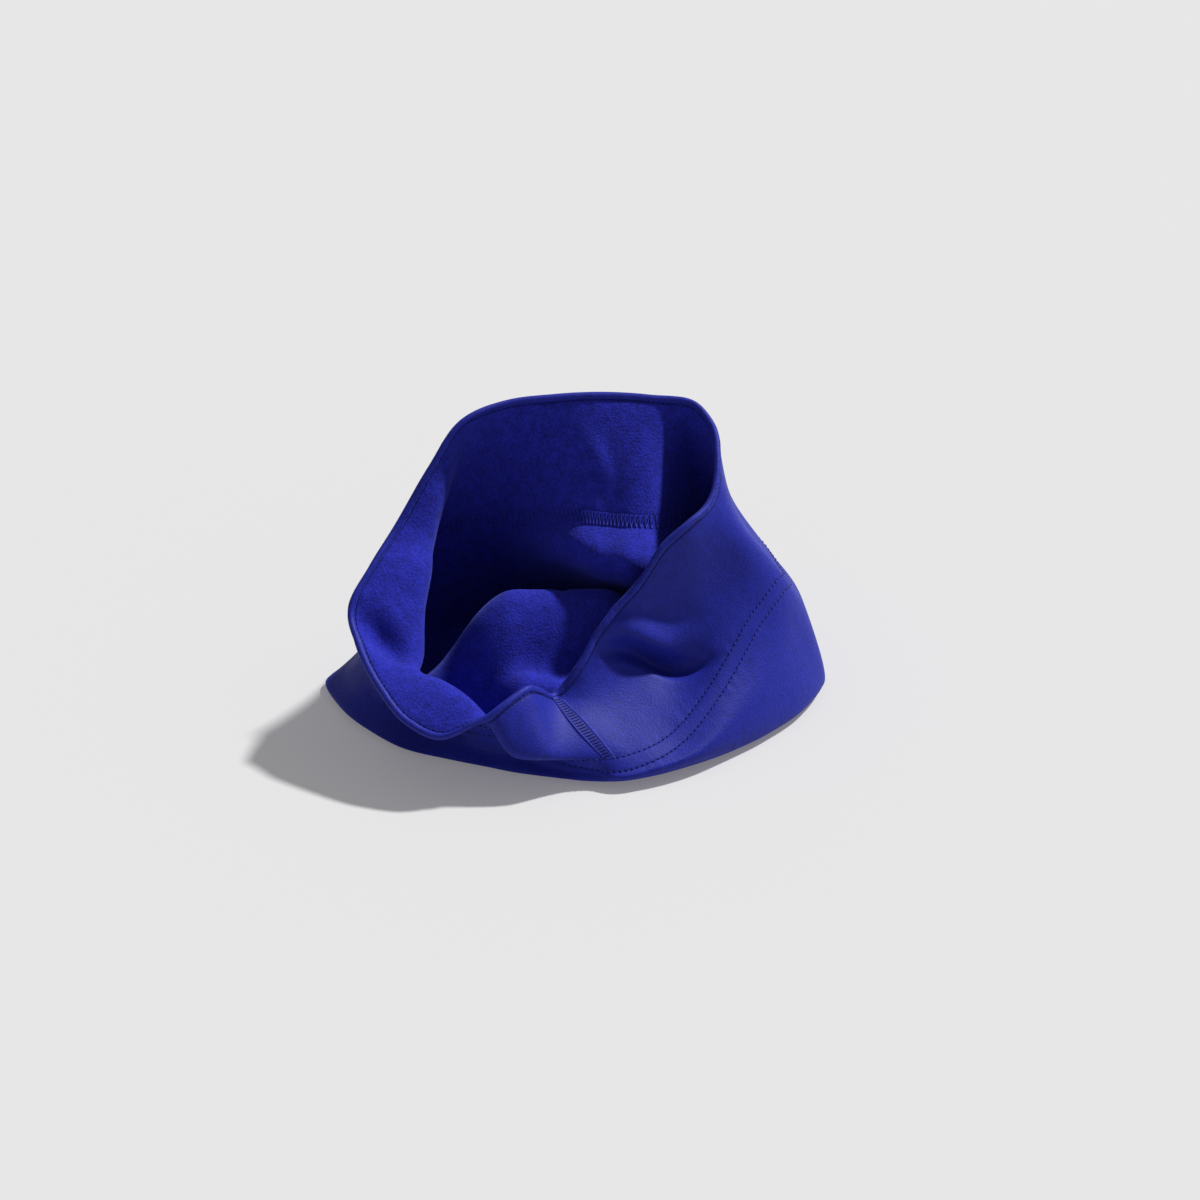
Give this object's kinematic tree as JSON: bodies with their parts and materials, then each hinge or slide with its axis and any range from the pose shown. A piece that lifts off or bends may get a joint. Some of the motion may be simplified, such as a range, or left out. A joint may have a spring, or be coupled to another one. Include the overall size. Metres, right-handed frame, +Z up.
{
  "type": "skull cap",
  "caption": "Close-fitting stretch-fleece liner cap lying on its crown, with a rolled rim hem, a deep side band and a soft crown panel",
  "frame": {"origin": "on the floor, at the bottom centre of the bounding box of the cap as it lies", "axes": "+X is the longest extent, the cap's right as seen from the front; +Z is up; the head opening faces up and to the front, -Y"},
  "size_m": [0.2232, 0.1512, 0.1303],
  "materials": {
    "jersey": "smooth stretch knit, satin sheen outside, lightly brushed inside",
    "fleece": "smooth knit outside, brushed fleece inside",
    "hem": "rolled and stitched knit edge",
    "lap": "lapped knit with coverstitch rows",
    "closure": "flatlocked knit seam"
  },
  "bodies": {
    "root": {"band": "jersey", "crown": "fleece", "rim_hem": "hem", "crown_lap": "lap", "closure_seam": "closure"}
  },
  "joints": []
}
